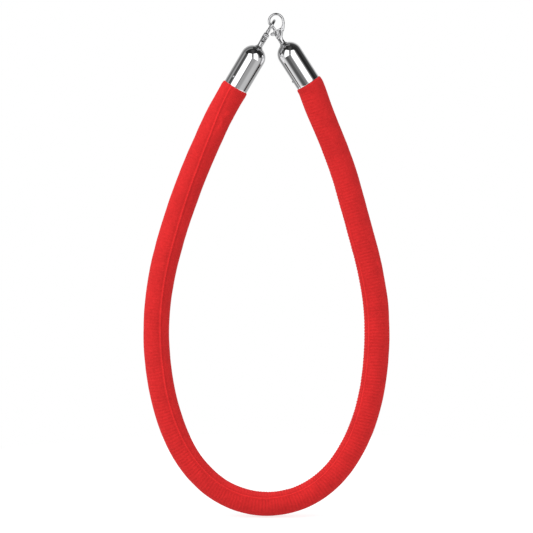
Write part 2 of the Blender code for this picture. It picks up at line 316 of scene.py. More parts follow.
def as_cast(obj, voxel, passes, factor=0.5):
    """Melts sharp joins into the small fillets of a casting."""
    melt = obj.modifiers.new("melt", "REMESH")
    melt.mode = "VOXEL"
    melt.voxel_size = voxel * MM
    melt.use_smooth_shade = True
    even = obj.modifiers.new("even", "SMOOTH")
    even.factor = factor
    even.iterations = passes
    return baked(obj)


def fitting_frame(side):
    apex, lean = (LEFT_APEX, LEFT_LEAN) if side == "left" else (RIGHT_APEX, RIGHT_LEAN)
    return Matrix.Translation(apex * MM) @ Matrix.Rotation(lean, 4, "Y")


def hook_frame(side):
    return fitting_frame(side) @ Matrix.Rotation(LEFT_TURN if side == "left" else RIGHT_TURN, 4, "Z")


def piece(name, mesh, matrix, mat, body, nodes, smooth=True):
    copy = mesh.copy()
    copy.transform(matrix)
    obj = link(bpy.data.objects.new(name, copy))
    copy.materials.clear()
    copy.materials.append(mat)
    if smooth is True:
        copy.shade_smooth()
    elif smooth:
        copy.shade_smooth()
        copy.set_sharp_from_angle(angle=math.radians(smooth))
    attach(obj, body)
    if nodes:
        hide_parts(*nodes)
    return obj


# ---- materials ----
def new_material(name):
    mat = bpy.data.materials.new(name)
    mat.use_nodes = True
    tree = mat.node_tree
    return mat, tree, tree.nodes["Principled BSDF"]


def node(tree, kind, **values):
    made = tree.nodes.new(kind)
    for key, value in values.items():
        if key in made.inputs:
            made.inputs[key].default_value = value
        else:
            setattr(made, key, value)
    return made


def join(tree, source, target):
    tree.links.new(source, target)


def ramp(tree, source, stops, interpolation="LINEAR"):
    made = tree.nodes.new("ShaderNodeValToRGB")
    made.color_ramp.interpolation = interpolation
    elements = made.color_ramp.elements
    while len(elements) < len(stops):
        elements.new(0.5)
    for element, (position, colour) in zip(elements, stops):
        element.position = position
        element.color = (*colour, 1.0) if hasattr(colour, "__len__") else (colour, colour, colour, 1.0)
    if source is not None:
        join(tree, source, made.inputs[0])
    return made


def object_point(tree, scale=(1.0, 1.0, 1.0)):
    where = node(tree, "ShaderNodeTexCoord")
    mapping = node(tree, "ShaderNodeMapping")
    mapping.inputs["Scale"].default_value = scale
    join(tree, where.outputs["Object"], mapping.inputs["Vector"])
    return mapping.outputs["Vector"]


def velour_material():
    """Cut pile: fine tufts, random patches of nap tone, and painted light and shade from the cloth's relief: darker
    creases between the gathers, lighter crests.
    """
    mat, tree, shader = new_material("red_velour")
    shader.inputs["Roughness"].default_value = 0.92
    shader.inputs["Specular IOR Level"].default_value = 0.18
    shader.inputs["Sheen Weight"].default_value = 0.08
    shader.inputs["Sheen Roughness"].default_value = 0.35
    shader.inputs["Sheen Tint"].default_value = (1.0, 0.22, 0.2, 1.0)
    place = object_point(tree)
    along = node(tree, "ShaderNodeUVMap", uv_map="weave")
    tufts = node(tree, "ShaderNodeTexNoise", Scale=1500.0, Detail=3.0, Roughness=0.6)
    join(tree, place, tufts.inputs["Vector"])
    nap = node(tree, "ShaderNodeTexNoise", Scale=260.0, Detail=4.0, Roughness=0.62, Distortion=0.4)
    join(tree, place, nap.inputs["Vector"])
    brushed_nap_and_sheen = node(tree, "ShaderNodeTexNoise", Scale=34.0, Detail=3.0, Roughness=0.55, Distortion=0.8)
    join(tree, place, brushed_nap_and_sheen.inputs["Vector"])
    # rows of tufts, drawn out round the rope
    rows_at = node(tree, "ShaderNodeMapping")
    rows_at.inputs["Scale"].default_value = (150.0, 900.0, 1.0)
    join(tree, along.outputs["UV"], rows_at.inputs["Vector"])
    rows = node(tree, "ShaderNodeTexNoise", Scale=1.0, Detail=2.0, Roughness=0.5, noise_dimensions="2D")
    join(tree, rows_at.outputs["Vector"], rows.inputs["Vector"])

    base = ramp(tree, nap.outputs["Fac"], [(0.30, (0.590, 0.0185, 0.0190)), (0.50, (0.645, 0.0210, 0.0217)), (0.72, (0.695, 0.0245, 0.0254))])
    patch = ramp(tree, brushed_nap_and_sheen.outputs["Fac"], [(0.32, 0.93), (0.52, 1.0), (0.70, 1.05)])
    tint = node(tree, "ShaderNodeMix", data_type="RGBA", blend_type="MULTIPLY")
    tint.inputs[0].default_value = 1.0
    join(tree, base.outputs["Color"], tint.inputs[6])
    join(tree, patch.outputs["Color"], tint.inputs[7])
    row_tone = ramp(tree, rows.outputs["Fac"], [(0.28, 0.93), (0.50, 1.0), (0.72, 1.05)])
    tint_rows = node(tree, "ShaderNodeMix", data_type="RGBA", blend_type="MULTIPLY")
    tint_rows.inputs[0].default_value = 1.0
    join(tree, tint.outputs[2], tint_rows.inputs[6])
    join(tree, row_tone.outputs["Color"], tint_rows.inputs[7])
    # painted light and shade from the cloth's relief: the creases between the gathers are painted darker as shade, the
    # crests and the seam's welt painted brighter as highlight, and the brushed patches painted brighter as sheen
    relief_shading_attr = node(tree, "ShaderNodeAttribute", attribute_name="relief_shading")
    relief_shading = ramp(tree, relief_shading_attr.outputs["Fac"], [(0.0, 0.70), (0.25, 0.86), (0.5, 1.0), (0.72, 1.045), (0.86, 1.10), (1.0, 1.27)])
    tint_relief_shading = node(tree, "ShaderNodeMix", data_type="RGBA", blend_type="MULTIPLY")
    tint_relief_shading.inputs[0].default_value = 1.0
    join(tree, tint_rows.outputs[2], tint_relief_shading.inputs[6])
    join(tree, relief_shading.outputs["Color"], tint_relief_shading.inputs[7])
    join(tree, tint_relief_shading.outputs[2], shader.inputs["Base Color"])

    pile = node(tree, "ShaderNodeMath", operation="ADD")
    join(tree, tufts.outputs["Fac"], pile.inputs[0])
    join(tree, rows.outputs["Fac"], pile.inputs[1])
    bump = node(tree, "ShaderNodeBump", Strength=0.55, Distance=0.0004)
    join(tree, pile.outputs[0], bump.inputs["Height"])
    join(tree, bump.outputs["Normal"], shader.inputs["Normal"])
    return mat


def chrome_material(name, colour, smooth_low, smooth_high, peel, peel_scale):
    """Plated metal: near-mirror with wiping haze and the faint unevenness of the plating."""
    mat, tree, shader = new_material(name)
    shader.inputs["Metallic"].default_value = 1.0
    place = object_point(tree)
    haze = node(tree, "ShaderNodeTexNoise", Scale=55.0, Detail=4.0, Roughness=0.6, Distortion=0.6)
    join(tree, place, haze.inputs["Vector"])
    rough = ramp(tree, haze.outputs["Fac"], [(0.35, smooth_low), (0.55, (smooth_low + smooth_high) / 2), (0.75, smooth_high)])
    join(tree, rough.outputs["Color"], shader.inputs["Roughness"])
    tone = ramp(tree, haze.outputs["Fac"], [(0.3, tuple(c * 0.965 for c in colour)), (0.6, colour), (0.8, tuple(min(1.0, c * 1.01) for c in colour))])
    join(tree, tone.outputs["Color"], shader.inputs["Base Color"])
    uneven = node(tree, "ShaderNodeTexNoise", Scale=peel_scale, Detail=2.0, Roughness=0.45)
    join(tree, place, uneven.inputs["Vector"])
    bump = node(tree, "ShaderNodeBump", Strength=peel, Distance=0.00005)
    join(tree, uneven.outputs["Fac"], bump.inputs["Height"])
    join(tree, bump.outputs["Normal"], shader.inputs["Normal"])
    return mat


def steel_material():
    mat, tree, shader = new_material("bright_steel")
    shader.inputs["Metallic"].default_value = 1.0
    place = object_point(tree, (1.0, 1.0, 14.0))
    grain = node(tree, "ShaderNodeTexNoise", Scale=900.0, Detail=3.0, Roughness=0.6)
    join(tree, place, grain.inputs["Vector"])
    tone = ramp(tree, grain.outputs["Fac"], [(0.3, (0.52, 0.52, 0.53)), (0.7, (0.66, 0.66, 0.67))])
    join(tree, tone.outputs["Color"], shader.inputs["Base Color"])
    rough = ramp(tree, grain.outputs["Fac"], [(0.3, 0.22), (0.7, 0.38)])
    join(tree, rough.outputs["Color"], shader.inputs["Roughness"])
    bump = node(tree, "ShaderNodeBump", Strength=0.25, Distance=0.00003)
    join(tree, grain.outputs["Fac"], bump.inputs["Height"])
    join(tree, bump.outputs["Normal"], shader.inputs["Normal"])
    return mat


def wood_material():
    mat, tree, shader = new_material("turned_softwood")
    shader.inputs["Roughness"].default_value = 0.7
    place = object_point(tree, (1.0, 1.0, 0.16))
    rings = node(tree, "ShaderNodeTexWave", Scale=170.0, Distortion=3.0, Detail=3.0)
    rings.inputs["Detail Scale"].default_value = 1.6
    join(tree, place, rings.inputs["Vector"])
    fibre = node(tree, "ShaderNodeTexNoise", Scale=1800.0, Detail=3.0)
    join(tree, place, fibre.inputs["Vector"])
    tone = ramp(tree, rings.outputs["Fac"], [(0.1, (0.60, 0.42, 0.25)), (0.6, (0.52, 0.34, 0.19)), (0.95, (0.36, 0.21, 0.11))])
    mix = node(tree, "ShaderNodeMix", data_type="RGBA", blend_type="MULTIPLY")
    mix.inputs[0].default_value = 0.35
    join(tree, tone.outputs["Color"], mix.inputs[6])
    join(tree, fibre.outputs["Fac"], mix.inputs[7])
    join(tree, mix.outputs[2], shader.inputs["Base Color"])
    bump = node(tree, "ShaderNodeBump", Strength=0.3, Distance=0.0001)
    join(tree, fibre.outputs["Fac"], bump.inputs["Height"])
    join(tree, bump.outputs["Normal"], shader.inputs["Normal"])
    return mat


def twine_material():
    mat, tree, shader = new_material("waxed_twine")
    shader.inputs["Roughness"].default_value = 0.8
    place = object_point(tree)
    strand = node(tree, "ShaderNodeTexNoise", Scale=1300.0, Detail=4.0, Roughness=0.7)
    join(tree, place, strand.inputs["Vector"])
    tone = ramp(tree, strand.outputs["Fac"], [(0.3, (0.50, 0.44, 0.34)), (0.7, (0.76, 0.71, 0.60))])
    join(tree, tone.outputs["Color"], shader.inputs["Base Color"])
    bump = node(tree, "ShaderNodeBump", Strength=0.6, Distance=0.0003)
    join(tree, strand.outputs["Fac"], bump.inputs["Height"])
    join(tree, bump.outputs["Normal"], shader.inputs["Normal"])
    return mat


def foam_material():
    mat, tree, shader = new_material("filling_foam")
    shader.inputs["Roughness"].default_value = 0.95
    place = object_point(tree)
    cells = node(tree, "ShaderNodeTexVoronoi", Scale=750.0)
    join(tree, place, cells.inputs["Vector"])
    tone = ramp(tree, cells.outputs["Distance"], [(0.0, (0.60, 0.56, 0.46)), (0.5, (0.80, 0.77, 0.68))])
    join(tree, tone.outputs["Color"], shader.inputs["Base Color"])
    bump = node(tree, "ShaderNodeBump", Strength=0.5, Distance=0.0004)
    join(tree, cells.outputs["Distance"], bump.inputs["Height"])
    join(tree, bump.outputs["Normal"], shader.inputs["Normal"])
    return mat


VELOUR = velour_material()
CAP_CHROME = chrome_material("polished_chrome", (0.86, 0.86, 0.87), 0.018, 0.05, 0.10, 420.0)
HOOK_CHROME = chrome_material("cast_chrome", (0.66, 0.66, 0.67), 0.06, 0.13, 0.12, 420.0)
STEEL, WOOD, TWINE, FOAM = steel_material(), wood_material(), twine_material(), foam_material()


# ---- the velour rope ----
def sideways(fraction):
    f = fraction * fraction * (3 - 2 * fraction)
    return left_mouth.y * (1 - f) + right_mouth.y * f


def rope_line(count):
    """The rope's centreline from 8.6 mm inside the left cap to 8.6 mm inside the right one."""
    route = [tuple(left_mouth + left_out * s) for s in (9.0, 22.0)]
    route += [(x, sideways((i + 1) / (len(ROUTE) + 1)), z) for i, (x, z) in enumerate(ROUTE)]
    route += [tuple(right_mouth + right_out * 9.0)]
    middle = smooth_line(route, 1500)
    start = [tuple(left_mouth + left_out * s) for s in np.arange(-8.6, 8.9, 0.5)]
    end = [tuple(right_mouth + right_out * s) for s in np.arange(-8.6, 8.9, 0.5)][::-1]
    line = even_steps(np.array([*start, *middle, *end]), 3000)
    for _ in range(60):  # a thick rope has no corners
        line[1:-1] = (line[:-2] + 2 * line[1:-1] + line[2:]) / 4
    return even_steps(line, count)


def ring_axes(line):
    t = np.gradient(line, axis=0)
    t /= np.linalg.norm(t, axis=1)[:, None]
    outward = np.cross([0.0, 1.0, 0.0], t)
    outward /= np.linalg.norm(outward, axis=1)[:, None]
    front = np.cross(outward, t)
    return outward, front


# The first number is the share of the rope's length from the left cap to the right cap.
RADIUS_AT = [(0.0, 20.6), (0.05, 20.7), (0.095, 20.75), (0.14, 20.65), (0.18, 20.5), (0.224, 20.0), (0.264, 19.7), (0.315, 19.9), (0.37, 19.7), (0.414, 19.1), (0.46, 18.5), (0.5, 18.3), (0.54, 18.4), (0.586, 18.7), (0.631, 18.85), (0.685, 19.1), (0.736, 19.05), (0.776, 19.1), (0.82, 19.4), (0.861, 19.4), (0.905, 19.6), (0.95, 19.75), (0.985, 20.6), (1.0, 20.7)]
SEAM_AT = [(0.0, 68.0), (0.025, 76.0), (0.055, 88.0), (0.09, 95.0), (0.22, 106.0), (0.33, 111.0), (0.42, 120.5), (0.5, 128.5), (0.6, 131.5), (0.72, 133.0), (0.8, 134.0), (0.86, 144.0), (0.93, 165.0), (1.0, 185.0)]


def at_share(table, share):
    return np.interp(share, [a for a, _ in table], [b for _, b in table])


def make_sleeve():
    rings, columns = 1500, 60
    line = rope_line(rings)
    run = np.concatenate([[0], np.cumsum(np.linalg.norm(np.diff(line, axis=0), axis=1))])
    total = run[-1]
    tuck = 8.6
    out = np.minimum(run, total - run) - tuck  # distance out of the nearer mouth
    share = np.clip((run - tuck) / (total - 2 * tuck), 0, 1)
    outward, front = ring_axes(line)

    # plain radius: the neck tucked in the cap, the roll over the cap's rim, and the rope
    body = at_share(RADIUS_AT, share)
    neck_out = np.array([-8.6, -2.0, -0.5, 0.3, 0.7, 1.4, 3.0, 8.0, 14.0])
    left_r = np.array([16.3, 16.3, 16.5, 17.4, 19.6, 20.4, 20.8, 20.8, 20.6])
    neck = np.interp(out, neck_out, left_r)
    radius = np.where(out < 14.0, neck, 0.0)
    mix = smoothstep(out, 8.0, 14.0)
    radius = np.where(out < 8.0, neck, neck * (1 - mix) + body * mix)
    radius = np.where(out >= 14.0, body, radius)

    seam = np.radians(at_share(SEAM_AT, share)) + 0.02 * np.sin(run / 31.0)
    # columns stand closer together at the seam
    base = np.linspace(0, 2 * math.pi, columns, endpoint=False)
    warp = base - 0.80 * np.sin(base)
    phi = seam[:, None] + warp[None, :]
    off = (warp + math.pi) % (2 * math.pi) - math.pi  # angle from the seam, outward side negative
    off = np.broadcast_to(off, phi.shape)
    s = np.broadcast_to(run[:, None], phi.shape)
    sh = np.broadcast_to(share[:, None], phi.shape)
    turn = (phi / (2 * math.pi)) % 1.0

    # gathers: short irregular ridges across the rope
    wander = value_noise(s / 42.0, turn * 7, 3, 7) * 1.3 + value_noise(s / 11.0, turn * 12, 5, 12) * 0.45
    slant = 0.55 * off + 0.30 * np.sin(s / 47.0) * off + 0.75 * np.sin(2.6 * off + 0.6)
    phase = 2 * math.pi * s / 5.0 + wander + slant
    ridge = (0.5 + 0.5 * np.cos(phase)) ** 1.5
    phase_b = 2 * math.pi * s / 3.9 + value_noise(s / 15.0, turn * 11, 8, 11) * 1.8 - 1.0 * off
    ridge = 0.82 * ridge + 0.18 * (0.5 + 0.5 * np.cos(phase_b)) ** 1.4
    strength = 0.18 + 0.49 * smoothstep(sh, 0.16, 0.42) - 0.20 * smoothstep(sh, 0.60, 0.98)
    # outward side of the seam: full for two thirds of the way out, then fading
    outer_side = smoothstep(-off, 0.05, 0.22) * (1 - 0.85 * smoothstep(-off, 1.0, 1.75))
    inner_gain = 0.22 + 1.10 * smoothstep(sh, 0.42, 0.56)
    inner_side = smoothstep(off, 0.06, 0.35) * inner_gain * (1 - 0.55 * smoothstep(off, 1.4, 2.6))
    far_side = 0.30 * smoothstep(np.abs(off), 1.9, 2.6)
    where = np.maximum(np.maximum(outer_side, inner_side), far_side)
    broken = 0.74 + 0.30 * value_noise(s / 13.0, turn * 15, 12, 15) + 0.26 * value_noise(s / 46.0, turn * 5, 17, 5)
    gathers = strength * where * np.clip(broken, 0.1, 1.25) * ridge
    gathers *= smoothstep(out, 3.0, 22.0)[:, None]

    # fine pleats where the cloth rolls over the cap's rim
    pleats = 0.16 * np.cos(phi * 46 + 2.2 * value_noise(s / 9.0, turn * 13, 21, 13)) * (smoothstep(out, 0.2, 1.6) * (1 - smoothstep(out, 5.0, 15.0)))[:, None]

    # the seam: a narrow raised welt with a shallow fold on each side
    width = 1.05 / ROPE_R
    welt = 0.95 * np.exp(-((off / width) ** 2)) * (1.0 + 0.22 * np.cos(2 * math.pi * s / 4.2 + wander))
    fold = -0.34 * np.exp(-(((off - 2.5 * width) / (1.5 * width)) ** 2)) - 0.20 * np.exp(-(((off + 2.6 * width) / (1.6 * width)) ** 2))
    fade = 1.0 - 0.75 * smoothstep(sh, 0.82, 0.92)
    seam_height = (welt + fold) * fade * smoothstep(out, 1.0, 9.0)[:, None]

    # soft lumps of the filling, and the pile's own unevenness
    lumps = 0.20 * value_noise(s / 34.0, turn * 6, 31, 6) + 0.12 * value_noise(s / 13.0, turn * 9, 33, 9)
    lumps *= smoothstep(out, 6.0, 30.0)[:, None]
    nap = 0.022 * value_noise(s / 1.9, turn * 34, 41, 34) * smoothstep(out, 0.5, 3.0)[:, None]

    relief = gathers + pleats + seam_height + nap
    r = radius[:, None] + lumps + relief
    inside = (out < 0.2)[:, None]
    r = np.where(inside, radius[:, None], r)
    direction = np.cos(phi)[..., None] * outward[:, None, :] + np.sin(phi)[..., None] * front[:, None, :]
    outer = line[:, None, :] + direction * r[..., None]

    # the cloth's inside, on every tenth ring
    picks = list(range(0, rings - 1, 10)) + [rings - 1]
    inner = line[picks][:, None, :] + direction[picks] * (radius[picks][:, None] - 0.9)[..., None]

    vertices = np.concatenate([outer.reshape(-1, 3), inner.reshape(-1, 3)]) * MM
    faces, uvs = [], []
    around = [j * 2 * math.pi * ROPE_R * MM / columns for j in range(columns + 1)]
    for i in range(rings - 1):
        for j in range(columns):
            k = (j + 1) % columns
            faces.append((i * columns + j, i * columns + k, (i + 1) * columns + k, (i + 1) * columns + j))
            uvs += [(around[j], run[i] * MM), (around[j + 1], run[i] * MM), (around[j + 1], run[i + 1] * MM), (around[j], run[i + 1] * MM)]
    start = rings * columns
    for i in range(len(picks) - 1):
        for j in range(columns):
            k = (j + 1) % columns
            faces.append((start + i * columns + j, start + (i + 1) * columns + j, start + (i + 1) * columns + k, start + i * columns + k))
            uvs += [(around[j], run[picks[i]] * MM), (around[j], run[picks[i + 1]] * MM), (around[j + 1], run[picks[i + 1]] * MM), (around[j + 1], run[picks[i]] * MM)]
    for ring, shell, flip in ((0, 0, True), (rings - 1, len(picks) - 1, False)):
        for j in range(columns):
            k = (j + 1) % columns
            quad = (ring * columns + j, ring * columns + k, start + shell * columns + k, start + shell * columns + j)
            faces.append(quad[::-1] if flip else quad)
            uvs += [(around[j], run[ring] * MM)] * 4
    mesh = bpy.data.meshes.new("velour_rope")
    mesh.from_pydata(vertices.tolist(), [], faces)
    layer = mesh.uv_layers.new(name="weave")
    layer.data.foreach_set("uv", np.array(uvs, np.float32).ravel())
    # painted light and shade stored per vertex: crests of the gathers and the seam's welt lighter, creases and the
    # folds beside the welt darker
    relief_shading = mesh.attributes.new("relief_shading", "FLOAT", "POINT")
    # painted sheen of nap brushed the other way, lighter in colour: a patch beside the seam by the left cap, and one
    # along the outside of the right strand
    brushed_nap_and_sheen = 0.50 * np.exp(-(((sh - 0.035) / 0.020) ** 2)) * smoothstep(off, 0.10, 0.30) * (1 - smoothstep(off, 0.8, 1.2))
    brushed_nap_and_sheen += 0.48 * np.exp(-(((sh - 0.80) / 0.05) ** 2)) * np.exp(-(((off + 1.65) / 0.22) ** 2))
    brushed_nap_and_sheen *= 0.70 + 0.9 * value_noise(s / 6.0, turn * 30, 61, 30)
    # painted light and shade: gather crests and the welt lighter as highlight, troughs and folds darker as shade, plus
    # the painted sheen of the brushed patches
    level = 0.5 + (gathers - 0.30 * strength * where) * 1.0 + welt * fade * 0.72 + fold * fade * 0.6 + brushed_nap_and_sheen
    level = np.where(inside, 0.5, level)
    values = np.concatenate([np.clip(level, 0, 1).ravel(), np.full(inner.shape[0] * columns, 0.5)])
    relief_shading.data.foreach_set("value", values.astype(np.float32))
    work = bmesh.new()
    work.from_mesh(mesh)
    bmesh.ops.recalc_face_normals(work, faces=work.faces)
    work.to_mesh(mesh)
    work.free()
    return mesh, line * MM


sleeve_mesh, sleeve_line = make_sleeve()
sleeve = piece("velour_rope", sleeve_mesh, Matrix.Identity(4), VELOUR, "rope", ["velour_sleeve"])
sleeve.visible_glossy = False
rope_length = float(np.linalg.norm(np.diff(sleeve_line, axis=0), axis=1).sum())


def make_filling():
    """The filling inside the sleeve, from neck to neck."""
    line = rope_line(420)
    run = np.concatenate([[0], np.cumsum(np.linalg.norm(np.diff(line, axis=0), axis=1))])
    out = np.minimum(run, run[-1] - run) - 8.6
    keep = out >= -0.6
    line, out = line[keep], out[keep]
    outward, front = ring_axes(line)
    radius = np.interp(out, [-0.6, 0.5, 2.6, 6.0, 10.0], [14.9, 15.2, 16.6, 17.0, 17.0])
    columns = 40
    a = np.linspace(0, 2 * math.pi, columns, endpoint=False)
    ring = np.cos(a)[None, :, None] * outward[:, None, :] + np.sin(a)[None, :, None] * front[:, None, :]
    points = line[:, None, :] + ring * radius[:, None, None]
    n = len(line)
    vertices = np.concatenate([points.reshape(-1, 3), line[:1], line[-1:]]) * MM
    faces = []
    for i in range(n - 1):
        for j in range(columns):
            k = (j + 1) % columns
            faces.append((i * columns + j, i * columns + k, (i + 1) * columns + k, (i + 1) * columns + j))
    for j in range(columns):
        k = (j + 1) % columns
        faces.append((n * columns, k, j))
        faces.append((n * columns + 1, (n - 1) * columns + j, (n - 1) * columns + k))
    mesh = bpy.data.meshes.new("filling")
    mesh.from_pydata(vertices.tolist(), [], faces)
    work = bmesh.new()
    work.from_mesh(mesh)
    bmesh.ops.recalc_face_normals(work, faces=work.faces)
    work.to_mesh(mesh)
    work.free()
    return mesh


piece("rope_filling", make_filling(), Matrix.Identity(4), FOAM, "rope", ["rope_core"], 50)


# ---- end fittings ----
def make_cap(brad_angle):
    outer = [(CAP_HOLE_R, -0.15), (CAP_HOLE_R + 0.15, 0.0), (4.9, 0.0), (5.2, -0.08), (5.5, -0.3), (5.75, -0.7), (6.2, -1.2)]
    for degrees in np.arange(20.5, 90.1, 2.9):
        a = math.radians(degrees)
        outer.append((CAP_R * math.sin(a), DOME_Z + CAP_R * math.cos(a)))
    for z in np.linspace(-23, -69, 12):
        outer.append((CAP_R, z))
    outer += [(CAP_R, -70.5), (CAP_R - 0.1, -70.8), (CAP_R - 0.35, -CAP_LENGTH)]
    inner = [(CAP_BORE_R + 0.3, -CAP_LENGTH), (CAP_BORE_R + 0.08, -70.85), (CAP_BORE_R, -70.6)]
    for degrees in np.arange(90, 24, -6):
        a = math.radians(degrees)
        inner.append((CAP_BORE_R * math.sin(a), DOME_Z + CAP_BORE_R * math.cos(a)))
    inner += [(7.3, SEAT_Z), (CAP_HOLE_R, SEAT_Z)]
    cap = turned("cap", outer + inner, 160)
    hole = cylinder("brad_hole", 1.4, 15.0, 22.0, "Y", 24, (0.0, BRAD_Z))
    hole.data.transform(Matrix.Rotation(math.pi - brad_angle, 4, "Z"))
    made = combine(cap, [hole], "DIFFERENCE")
    mesh = made.data.copy()
    bpy.data.objects.remove(made, do_unlink=True)
    return mesh


def make_brad(brad_angle):
    r = CAP_R
    head = [(1.95 * math.sin(math.radians(a)), r + GAP + 0.15 + 0.85 * math.cos(math.radians(a))) for a in range(0, 91, 10)]
    brad = turned("brad", [*head, (1.9, r + GAP), (1.0, r + GAP), (1.0, 9.8), (0.6, 9.2), (0.0, 8.6)], 36, closed=False)
    brad.data.transform(Matrix.Rotation(math.radians(90), 4, "X"))
    brad.data.transform(Matrix.Translation((0.0, 0.0, BRAD_Z * MM)))
    brad.data.transform(Matrix.Rotation(-brad_angle, 4, "Z"))
    mesh = brad.data.copy()
    bpy.data.objects.remove(brad, do_unlink=True)
    return mesh


def hook_casting():
    """Shank, tail, forked body, web, bow and nose as one casting."""
    stem = turned(
        "stem",
        [(0.0, 11.0), (SHANK_R - 0.4, 11.0), (SHANK_R, 10.0), (SHANK_R, 1.7), (4.35, 1.15), (4.7, 0.9), (4.7, GAP + 0.05), (4.5, GAP), (TAIL_R, GAP), (TAIL_R, -11.2), (TAIL_R - 0.4, -11.6), (0.0, -11.6)],
        64,
        closed=False,
    )
    fork = crowned(
        "fork",
        rounded(
            [(-3.9, 4.0), (-4.1, 9.6), (-4.6, 11.2), (-4.7, 12.5), (-4.5, 13.8), (-3.8, 15.0), (-2.5, 16.0), (-1.0, 17.3), (0.6, 20.4), (1.6, 22.7), (9.3, 22.7), (11.0, 20.4), (10.6, 15.9), (7.3, 12.2), (4.3, 8.6), (3.9, 4.0)],
            2,
        ),
        BODY_T - 0.8,
        0.5,
        2.4,
    )
    # a raised rib runs up each cheek, in line with the gate
    ribs = [
        rod(f"rib_{side}", smooth_line([(0.5, side * 1.6, 3.0), (0.5, side * 2.4, 8.0), (0.8, side * 2.8, 13.0), (1.6, side * 2.8, 18.0), (3.1, side * 2.5, 22.4)], 40), 1.65)
        for side in (-1, 1)
    ]
    web = crowned(
        "web",
        rounded([(6.0, 21.6), (9.0, 22.0), (12.2, 23.2), (14.6, 25.3), (16.4, 28.4), (19.3, 27.3), (18.2, 24.0), (15.7, 20.0), (11.6, 15.6), (6.5, 14.0)], 1),
        WEB_T + 0.6,
        0.70,
        2.9,
    )
    bow_line = smooth_line(
        [(14.2, 0, 21.8), (16.6, 0, 24.9), (18.6, 0, 28.6), (19.8, 0, 32.5), (19.7, 0, 36.6), (18.3, 0, 40.2), (15.5, 0, 43.2), (11.8, 0, 44.8), (7.7, 0, 44.9), (3.7, 0, 43.4), (0.8, 0, 40.7), (-0.8, 0, 37.4), (-0.6, 0, 34.2), (0.3, 0, 32.6), (0.65, 0, NOSE_END)],
        90,
    )
    bow = rod("bow", bow_line, WIRE_R)

    def cut(target):
        slot = plate("slot", [(-9.0, 8.6), (3.7, 8.6), (3.7, 12.5), (8.7, 22.9), (8.7, 26.0), (-9.0, 26.0)], SLOT_T)
        pin_hole = cylinder("pin_hole", PIN_R + GAP, -6.0, 6.0, "Y", 32, PIVOT)
        pocket = cylinder("spring_pocket", 1.75, 4.0, 9.4, "X", 32, (0.0, 16.6))
        return combine(target, [slot, pin_hole, pocket], "DIFFERENCE", "MANIFOLD")

    cast = joined([cut(stem), cut(fork), cut(web), *[cut(rib) for rib in ribs], bow])
    cast = as_cast(cast, 0.24, 16)
    mesh = cast.data.copy()
    bpy.data.objects.remove(cast, do_unlink=True)
    return mesh


def trigger_casting():
    outline = []
    for degrees in range(180, 361, 10):
        a = math.radians(degrees)
        outline.append((PIVOT[0] + 3.0 * math.cos(a), PIVOT[1] + 3.0 * math.sin(a)))
    outline += [(2.6, 14.5), (2.75, 17.0), (2.75, GATE_TOP), (-1.45, GATE_TOP), (-1.45, 24.6), (-2.6, 23.0), (-4.4, 22.0), (-4.6, 17.4), (-4.0, 14.6)]
    blade = crowned("blade", outline, LEVER_T, 0.62, 1.9)
    tab = crowned("tab", rounded([(-3.6, 23.0), (-8.0, 22.9), (-9.2, 21.4), (-8.8, 19.6), (-7.2, 17.8), (-5.4, 16.9), (-3.6, 16.9)], 2), TAB_W, 0.40, 2.4)
    lever = joined([blade, tab])
    lever = as_cast(lever, 0.22, 1)
    hole = cylinder("pin_hole", PIN_R + GAP, -6.0, 6.0, "Y", 32, PIVOT)
    lever = combine(lever, [hole], "DIFFERENCE", "MANIFOLD")
    lever = as_cast(lever, 0.22, 12)
    mesh = lever.data.copy()
    bpy.data.objects.remove(lever, do_unlink=True)
    return mesh


def make_pin():
    ends = [(0.0, 3.72), (0.55, 3.68), (0.95, 3.55), (PIN_R, 3.25)]
    pin = turned("pin", [*ends, *[(r, -y) for r, y in reversed(ends)]], 36, closed=False)
    pin.data.transform(Matrix.Translation(Vector((PIVOT[0], 0.0, PIVOT[1])) * MM) @ Matrix.Rotation(math.radians(90), 4, "X"))
    mesh = pin.data.copy()
    bpy.data.objects.remove(pin, do_unlink=True)
    return mesh


def make_spring():
    low, high, turns, per_turn, coil, wire = 3.35, 9.1, 5, 28, 1.2, 0.22
    points = []
    for i in range(turns * per_turn + 1):
        a = 2 * math.pi * i / per_turn
        points.append((low + (high - low) * i / (turns * per_turn), coil * math.cos(a), 16.6 + coil * math.sin(a)))
    spring = rod("spring", points, wire, 3)
    mesh = spring.data.copy()
    bpy.data.objects.remove(spring, do_unlink=True)
    return mesh


hook_mesh, trigger_mesh, pin_mesh, spring_mesh = hook_casting(), trigger_casting(), make_pin(), make_spring()
for side, brad_angle in (("left", LEFT_BRAD), ("right", RIGHT_BRAD)):
    at_cap, at_hook = fitting_frame(side), hook_frame(side)
    piece(f"{side}_cap", make_cap(brad_angle), at_cap, CAP_CHROME, "rope", [f"{side}_cap_shell"], 40)
    piece(f"{side}_brad", make_brad(brad_angle), at_cap, STEEL, "rope", [f"{side}_cap_brad"], 40)
    piece(f"{side}_hook", hook_mesh, at_hook, HOOK_CHROME, f"{side}_hook", [f"{side}_hook_body"])
    piece(f"{side}_gate_lever", trigger_mesh, at_hook, HOOK_CHROME, f"{side}_trigger", [f"{side}_trigger"])
    piece(f"{side}_pivot", pin_mesh, at_hook, STEEL, f"{side}_hook", [f"{side}_trigger_pin"], 40)
    spring = piece(f"{side}_spring", spring_mesh, at_hook, STEEL, f"{side}_hook", [f"{side}_trigger_spring"], 40)
    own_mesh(spring)

for name, mat in (("end_plug", WOOD), ("binding", TWINE), ("swivel_washer", STEEL), ("swivel_nut", STEEL)):
    for side in ("left", "right"):
        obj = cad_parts[f"{side}_{name}"]
        for i in range(len(obj.material_slots)):
            obj.material_slots[i].material = mat


# ---- studio ----
scene.view_settings.view_transform = "Standard"
scene.view_settings.look = "None"
scene.view_settings.exposure = 0.0
scene.view_settings.gamma = 1.0


